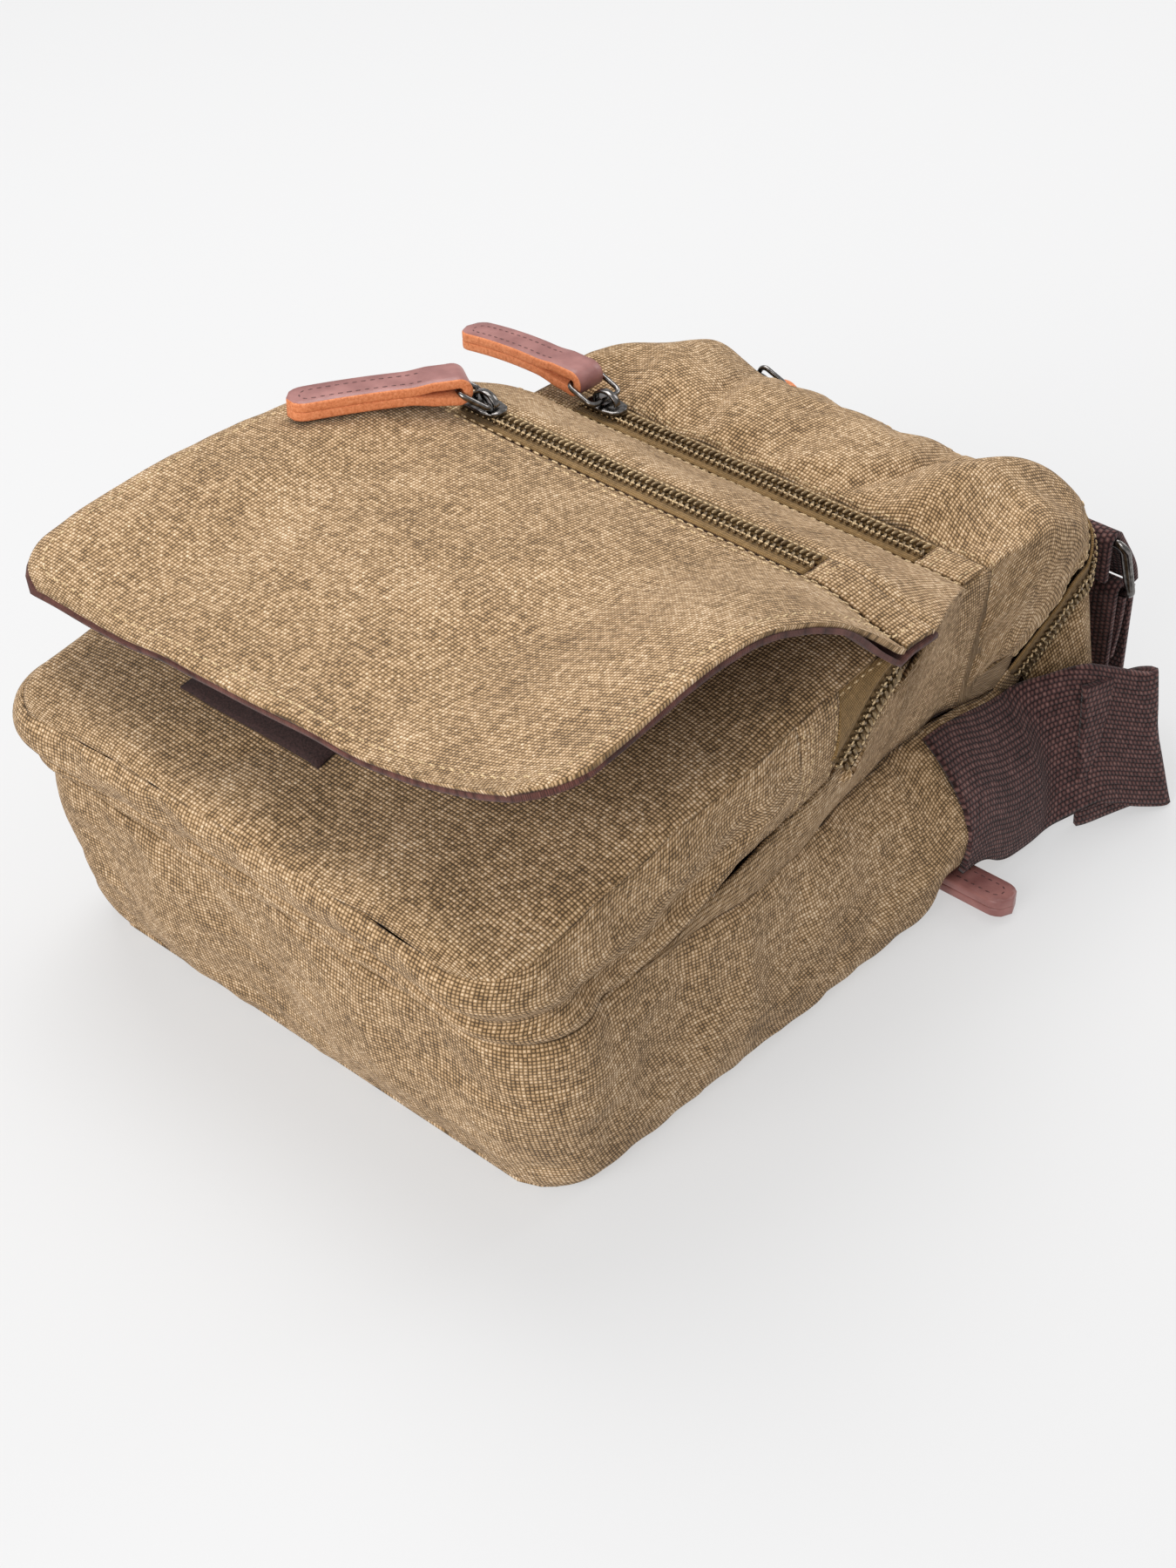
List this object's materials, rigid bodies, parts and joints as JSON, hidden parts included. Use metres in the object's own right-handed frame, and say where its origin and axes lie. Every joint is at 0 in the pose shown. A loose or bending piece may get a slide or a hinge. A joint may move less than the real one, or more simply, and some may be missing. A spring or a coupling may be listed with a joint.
{
  "type": "messenger bag",
  "caption": "Small canvas messenger bag lying on its back, with a flap, zipped pockets with leather pulls, and a folded webbing shoulder strap.",
  "frame": {"origin": "middle of the back panel, on the surface that the bag lies on", "axes": "+X to the bag's right as seen from its front, +Y towards the bag's top, +Z out of the bag's front"},
  "size_m": [0.2227, 0.3138, 0.1455],
  "materials": {
    "canvas": "matte",
    "lining": "matte",
    "zip_tape": "matte",
    "zip_coil": "satin",
    "hook_and_loop": "matte",
    "webbing": "matte",
    "gunmetal": "polished",
    "leather": "satin"
  },
  "bodies": {
    "bag": {"back_panel_lower": "canvas", "back_panel_upper": "canvas", "back_pocket_wall": "lining", "back_zip_tape": "zip_tape", "back_zip_chain": "zip_coil", "back_zip_tabs": "canvas", "main_gusset": "canvas", "top_gusset": "canvas", "main_zip_tape": "zip_tape", "main_zip_chain": "zip_coil", "main_zip_tabs": "canvas", "yoke_panel": "canvas", "main_front_panel": "lining", "middle_gusset_right": "canvas", "middle_gusset_left": "canvas", "middle_front_panel": "canvas", "middle_zip_tape": "zip_tape", "middle_zip_chain": "zip_coil", "middle_zip_tabs": "canvas", "hinge_strip": "canvas", "pocket_face": "canvas", "pocket_gusset": "canvas", "pocket_top_gusset": "canvas", "pocket_zip_rim": "canvas", "pocket_zip_tape": "zip_tape", "pocket_zip_chain": "zip_coil", "pocket_zip_tabs": "canvas", "loop_patch": "hook_and_loop", "strap_right": "webbing", "strap_ring_loop": "webbing", "strap_long": "webbing"},
    "flap": {"flap_canvas": "canvas", "flap_top_strip": "canvas", "flap_lining": "lining", "flap_zip_tape": "zip_tape", "flap_zip_chain": "zip_coil", "flap_zip_tabs": "canvas", "hook_patch": "hook_and_loop"},
    "strap_ring": {"strap_ring": "gunmetal", "strap_end": "webbing"},
    "strap_adjuster": {"strap_adjuster": "gunmetal"},
    "flap_slider": {"flap_slider": "gunmetal"},
    "flap_pull_ring": {"flap_pull_ring": "gunmetal"},
    "flap_leather_pull": {"flap_leather_pull": "leather"},
    "middle_slider": {"middle_slider": "gunmetal"},
    "middle_pull_ring": {"middle_pull_ring": "gunmetal"},
    "middle_leather_pull": {"middle_leather_pull": "leather"},
    "pocket_slider": {"pocket_slider": "gunmetal"},
    "pocket_pull_ring": {"pocket_pull_ring": "gunmetal"},
    "pocket_leather_pull": {"pocket_leather_pull": "leather"},
    "main_slider": {"main_slider": "gunmetal"},
    "main_pull_ring": {"main_pull_ring": "gunmetal"},
    "main_leather_pull": {"main_leather_pull": "leather"},
    "back_slider": {"back_slider": "gunmetal"},
    "back_pull_ring": {"back_pull_ring": "gunmetal"},
    "back_leather_pull": {"back_leather_pull": "leather"}
  },
  "joints": [
    {"name": "flap_fold", "type": "hinge", "parent": "bag", "child": "flap", "pos_m": [0, 0.0155, 0.1183], "axis": [-1, 0, 0], "range_deg": [0, 130]},
    {"name": "flap_zip_travel", "type": "slide", "parent": "flap", "child": "flap_slider", "axis": [1, 0, 0], "range_m": [0, 0.108]},
    {"name": "flap_ring_turn", "type": "hinge", "parent": "flap_slider", "child": "flap_pull_ring", "pos_m": [-0.055, 0.0075, 0.1225], "axis": [-0.848, 0.5299, 0], "range_deg": [0, 25]},
    {"name": "flap_pull_swing", "type": "hinge", "parent": "flap_pull_ring", "child": "flap_leather_pull", "pos_m": [-0.05951, 0.00028, 0.12847], "axis": [-0.848, 0.5299, 0], "range_deg": [0, 20]},
    {"name": "middle_zip_travel", "type": "slide", "parent": "bag", "child": "middle_slider", "axis": [1, 0, 0], "range_m": [0, 0.107]},
    {"name": "middle_ring_turn", "type": "hinge", "parent": "middle_slider", "child": "middle_pull_ring", "pos_m": [-0.054, 0.057, 0.1029], "axis": [0, 1, 0], "range_deg": [0, 110]},
    {"name": "middle_pull_swing", "type": "hinge", "parent": "middle_pull_ring", "child": "middle_leather_pull", "pos_m": [-0.06377, 0.057, 0.10646], "axis": [0, 1, 0], "range_deg": [0, 90]},
    {"name": "pocket_zip_travel", "type": "slide", "parent": "bag", "child": "pocket_slider", "axis": [1, 0, 0], "range_m": [0, 0.09]},
    {"name": "pocket_ring_turn", "type": "hinge", "parent": "pocket_slider", "child": "pocket_pull_ring", "pos_m": [-0.04, 0.0164, 0.099], "axis": [0, 0, 1], "range_deg": [0, 8]},
    {"name": "pocket_pull_swing", "type": "hinge", "parent": "pocket_pull_ring", "child": "pocket_leather_pull", "pos_m": [-0.02976, 0.01821, 0.099], "axis": [0, 0, 1], "range_deg": [0, 8]},
    {"name": "main_zip_travel", "type": "slide", "parent": "bag", "child": "main_slider", "axis": [1, 0, 0], "range_m": [0, 0.028]},
    {"name": "main_ring_turn", "type": "hinge", "parent": "main_slider", "child": "main_pull_ring", "pos_m": [-0.056, 0.1299, 0.0795], "axis": [0.3746, 0, 0.9272], "range_deg": [0, 90]},
    {"name": "main_pull_swing", "type": "hinge", "parent": "main_pull_ring", "child": "main_leather_pull", "pos_m": [-0.04637, 0.13044, 0.07561], "axis": [0.3746, 0, 0.9272], "range_deg": [0, 80]},
    {"name": "back_zip_travel", "type": "slide", "parent": "bag", "child": "back_slider", "axis": [1, 0, 0], "range_m": [-0.104, 0.003]},
    {"name": "back_ring_turn", "type": "hinge", "parent": "back_slider", "child": "back_pull_ring", "pos_m": [0.0495, 0.049, 0.0056], "axis": [0, 1, 0], "range_deg": [0, 90]},
    {"name": "back_pull_swing", "type": "hinge", "parent": "back_pull_ring", "child": "back_leather_pull", "pos_m": [0.05984, 0.049, 0.00451], "axis": [0, 1, 0], "range_deg": [0, 90]},
    {"name": "strap_ring_turn", "type": "hinge", "parent": "bag", "child": "strap_ring", "pos_m": [0.053, 0.1395, 0.053], "axis": [-1, 0, 0], "range_deg": [0, 15]},
    {"name": "adjuster_travel", "type": "slide", "parent": "bag", "child": "strap_adjuster", "axis": [1, 0, 0], "range_m": [-0.03, 0.014]}
  ]
}
